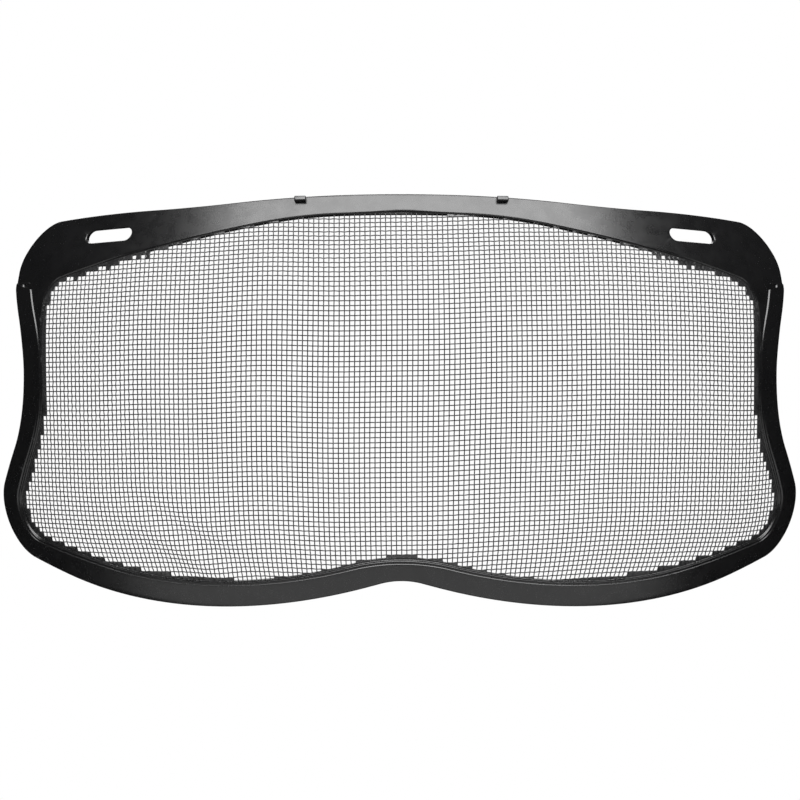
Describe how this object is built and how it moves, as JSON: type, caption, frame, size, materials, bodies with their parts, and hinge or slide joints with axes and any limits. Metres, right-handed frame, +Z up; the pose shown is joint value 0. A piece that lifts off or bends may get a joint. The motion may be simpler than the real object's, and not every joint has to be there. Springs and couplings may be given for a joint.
{
  "type": "mesh face shield",
  "caption": "Curved face shield for brush and forestry work: woven wire mesh moulded into a black plastic frame with fixing slots and a nose notch",
  "frame": {"origin": "middle of the frame's top edge, halfway through the plate, where the helmet bracket's rail meets it", "axes": "+Z up, -Y the way the wearer looks, +X to the wearer's left"},
  "size_m": [0.3732, 0.0843, 0.1836],
  "materials": {
    "frame_plastic": "satin",
    "wire": "satin"
  },
  "bodies": {
    "root": {"visor_frame": "frame_plastic", "wire_mesh": "wire"}
  },
  "joints": []
}
